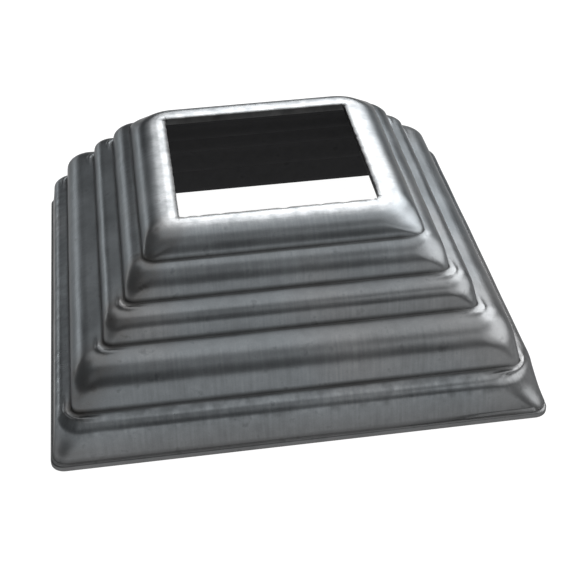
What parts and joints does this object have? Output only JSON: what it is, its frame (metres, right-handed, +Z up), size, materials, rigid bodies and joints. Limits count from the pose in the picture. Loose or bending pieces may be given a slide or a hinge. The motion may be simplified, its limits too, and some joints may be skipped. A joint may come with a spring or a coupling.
{
  "type": "square post rosette",
  "caption": "Stepped square cover pressed from sheet steel, with a square opening that slides down a square post to hide its foot and fixings.",
  "frame": {"origin": "middle of the square foot, in the plane of its trimmed edge", "axes": "+Z up along the post, X and Y along the sides of the square"},
  "size_m": [0.1, 0.1, 0.037],
  "materials": {
    "steel": "bare cold-rolled sheet with fine drawing marks, satin"
  },
  "bodies": {
    "root": {"rosette": "steel"}
  },
  "joints": []
}
